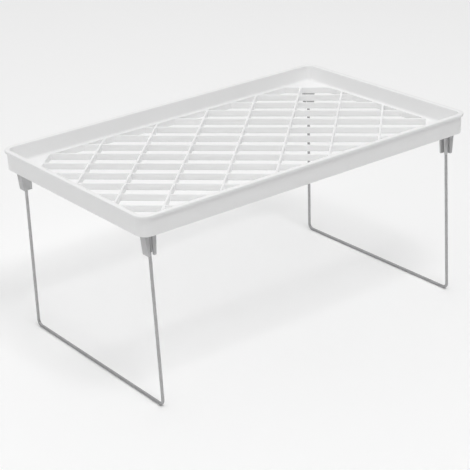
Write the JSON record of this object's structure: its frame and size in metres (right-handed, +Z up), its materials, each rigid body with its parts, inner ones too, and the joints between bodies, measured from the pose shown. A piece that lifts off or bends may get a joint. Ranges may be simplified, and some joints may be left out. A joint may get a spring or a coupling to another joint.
{
  "type": "folding shelf riser",
  "caption": "Free-standing folding kitchen shelf riser: a shallow moulded tray with an open diagonal lattice deck on fold-under wire leg frames held in plug-in corner brackets.",
  "frame": {"origin": "on the floor under the middle of the tray", "axes": "+X along the tray's length, +Y across it from front to back, +Z up"},
  "size_m": [0.42, 0.26, 0.206],
  "materials": {
    "tray_plastic": "semi-gloss white moulded polypropylene",
    "bracket_plastic": "satin pale grey moulded plastic",
    "leg_wire": "bright zinc-plated drawn steel wire"
  },
  "bodies": {
    "shelf": {"tray": "tray_plastic", "bracket_front_left": "bracket_plastic", "bracket_front_right": "bracket_plastic", "bracket_back_left": "bracket_plastic", "bracket_back_right": "bracket_plastic"},
    "left_legs": {"left_leg_frame": "leg_wire"},
    "right_legs": {"right_leg_frame": "leg_wire"}
  },
  "joints": [
    {"name": "left_leg_fold", "type": "hinge", "parent": "shelf", "child": "left_legs", "pos_m": [-0.1928, 0, 0.179], "axis": [0, -1, 0], "range_deg": [0, 90]},
    {"name": "right_leg_fold", "type": "hinge", "parent": "shelf", "child": "right_legs", "pos_m": [0.1928, 0, 0.179], "axis": [0, 1, 0], "range_deg": [0, 90]}
  ]
}
